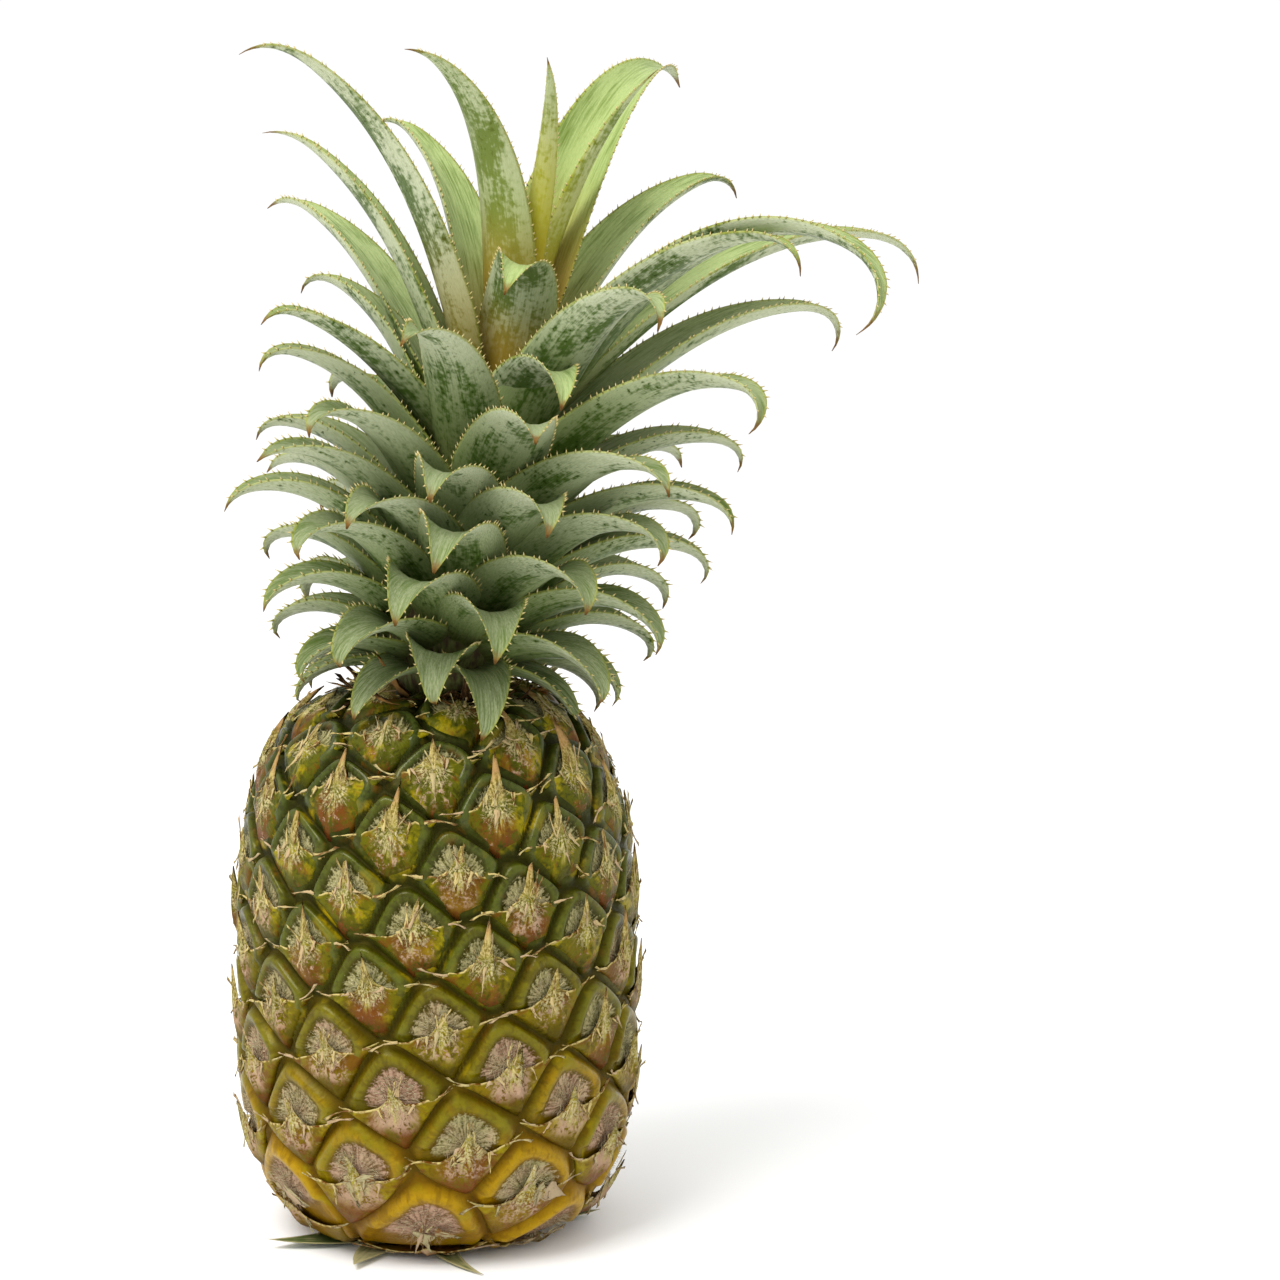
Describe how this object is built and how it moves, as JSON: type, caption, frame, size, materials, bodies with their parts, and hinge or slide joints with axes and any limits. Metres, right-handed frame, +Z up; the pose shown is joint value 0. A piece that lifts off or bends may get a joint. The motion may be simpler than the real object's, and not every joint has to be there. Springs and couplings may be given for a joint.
{
  "type": "pineapple",
  "caption": "Whole ripe pineapple standing upright: a barrel-shaped fruit with a spiral of scaly eyes, and a leaning crown of long spiny leaves.",
  "frame": {"origin": "middle of the cut face of the stalk that the fruit stands on", "axes": "+Z up along the fruit's axis to the crown, -Y towards the viewer of the picture, +X to the viewer's right"},
  "size_m": [0.208, 0.1607, 0.3456],
  "materials": {
    "rind": "waxy olive-green to golden rind with dry straw-coloured bract tips",
    "leaf": "satin grey-green leaf with a silvery bloom and paler margins",
    "dry_stalk": "dry fibrous cut stalk with withered green bracts"
  },
  "bodies": {
    "root": {"fruit": "rind", "crown": "leaf", "stalk": "dry_stalk"}
  },
  "joints": []
}
